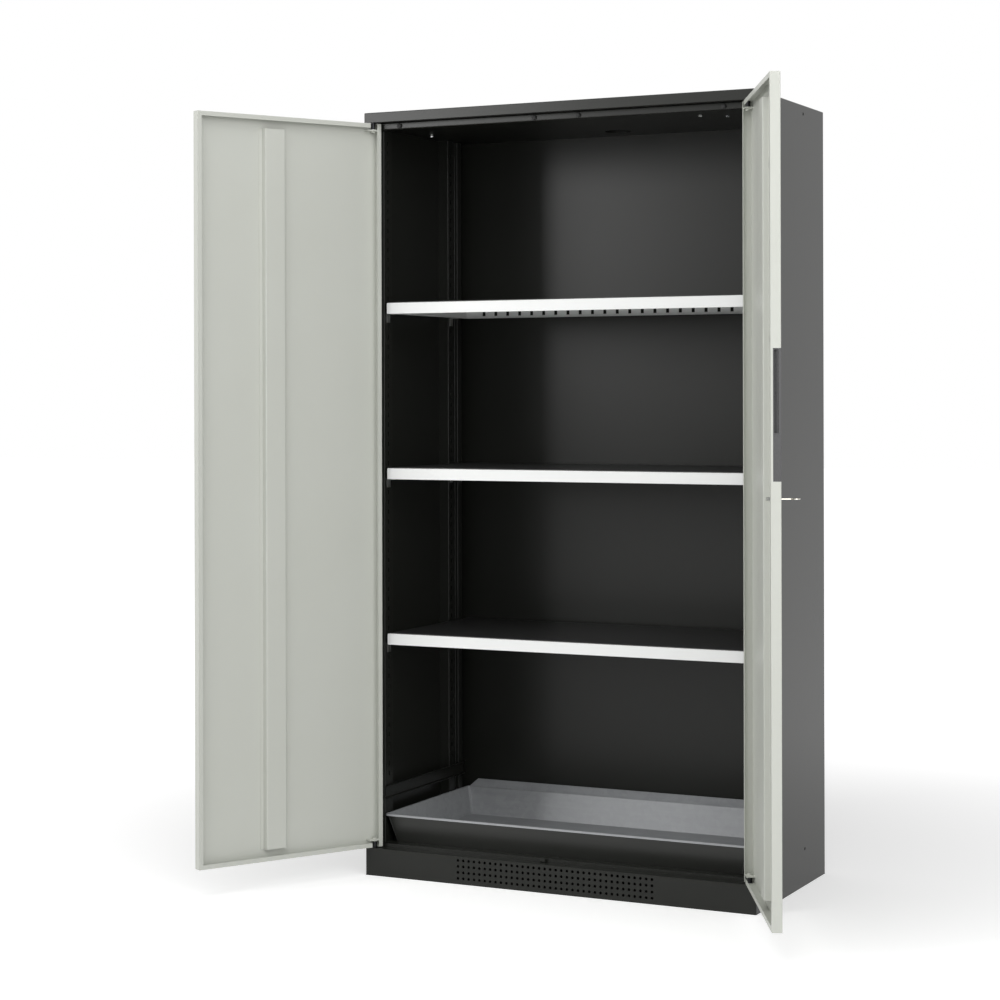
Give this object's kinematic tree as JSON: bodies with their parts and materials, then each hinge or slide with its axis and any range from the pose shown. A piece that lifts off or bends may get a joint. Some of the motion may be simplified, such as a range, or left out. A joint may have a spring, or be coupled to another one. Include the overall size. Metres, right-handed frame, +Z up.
{
  "type": "chemical storage cabinet",
  "caption": "Upright steel cabinet for chemicals with two wing doors standing open, folded shelves on slotted uprights, a sump at the bottom, a perforated plinth and a key lock with rods.",
  "frame": {"origin": "middle of the carcass footprint, on the floor", "axes": "+X to the right as seen by a user in front, +Y to the back, +Z up"},
  "size_m": [1.5318, 0.9662, 1.99],
  "materials": {
    "carcass_paint": "fine textured powder coat, anthracite",
    "door_paint": "fine textured powder coat, light grey",
    "shelf_paint": "satin powder coat, near white",
    "galvanised_steel": "dull zinc sheet, the outside painted as the carcass",
    "zinc_plate": "bright zinc plate",
    "dark_steel": "blackened steel",
    "black_plastic": "fine grained",
    "grey_plastic": "fine grained, light grey",
    "mat_plastic": "smooth dark sheet",
    "black_rubber": "matt",
    "nickel_plate": "polished nickel"
  },
  "bodies": {
    "carcass": {"base_frame": "carcass_paint", "left_side_panel": "carcass_paint", "right_side_panel": "carcass_paint", "back_panel": "carcass_paint", "top_cap": "carcass_paint", "ceiling_panel": "carcass_paint", "top_front_rail": "carcass_paint", "plinth_panel": "carcass_paint", "sill_plate": "carcass_paint", "floor_panel": "carcass_paint", "front_left_upright": "carcass_paint", "front_right_upright": "carcass_paint", "rear_left_upright": "carcass_paint", "rear_right_upright": "carcass_paint", "left_side_rail": "carcass_paint", "right_side_rail": "carcass_paint", "exhaust_spigot": "carcass_paint", "left_door_stop": "carcass_paint", "upper_shelf": "shelf_paint", "middle_shelf": "shelf_paint", "lower_shelf": "shelf_paint", "sump": "galvanised_steel", "upper_shelf_clips": "zinc_plate", "middle_shelf_clips": "zinc_plate", "lower_shelf_clips": "zinc_plate", "ceiling_screws": "zinc_plate", "spigot_screws": "zinc_plate", "upper_hinge_plates": "zinc_plate", "lower_hinge_plates": "zinc_plate", "upper_rod_strike": "zinc_plate", "lower_rod_strike": "zinc_plate", "upper_hinge_pins": "dark_steel", "lower_hinge_pins": "dark_steel", "upper_shelf_mat": "mat_plastic", "middle_shelf_mat": "mat_plastic", "lower_shelf_mat": "mat_plastic", "door_buffers": "black_rubber"},
    "left_door": {"left_door_shell": "door_paint", "left_door_stiffener": "door_paint", "left_door_brackets": "door_paint", "left_door_bushes": "grey_plastic"},
    "right_door": {"right_door_shell": "door_paint", "right_door_stiffener": "door_paint", "right_door_brackets": "door_paint", "right_door_bushes": "grey_plastic", "handle_grip": "black_plastic", "lock_housing": "nickel_plate", "lock_nut": "nickel_plate", "rod_guides": "grey_plastic"},
    "lock_core": {"lock_plug": "nickel_plate", "key": "nickel_plate", "lock_cam": "zinc_plate"},
    "upper_rod": {"upper_lock_rod": "zinc_plate"},
    "lower_rod": {"lower_lock_rod": "zinc_plate"}
  },
  "joints": [
    {"name": "left_door_hinge", "type": "hinge", "parent": "carcass", "child": "left_door", "pos_m": [-0.508, -0.248, 1], "axis": [0, 0, 1], "range_deg": [-0.6, 119.4]},
    {"name": "right_door_hinge", "type": "hinge", "parent": "carcass", "child": "right_door", "pos_m": [0.508, -0.248, 1], "axis": [0, 0, -1], "range_deg": [-3.5, 116.5]},
    {"name": "lock_turn", "type": "hinge", "parent": "right_door", "child": "lock_core", "pos_m": [0.72354, -0.65566, 1.002], "axis": [0.8949, 0.4462, 0], "range_deg": [0, 90]},
    {"name": "upper_rod_slide", "type": "slide", "parent": "right_door", "child": "upper_rod", "axis": [0, 0, 1], "range_m": [0, 0.016]},
    {"name": "lower_rod_slide", "type": "slide", "parent": "right_door", "child": "lower_rod", "axis": [0, 0, -1], "range_m": [0, 0.016]}
  ],
  "couplings": [
    {"joint": "lock_turn", "follows": "upper_rod_slide", "rad_per_m": 98.17},
    {"joint": "lower_rod_slide", "follows": "upper_rod_slide", "ratio": 1}
  ]
}
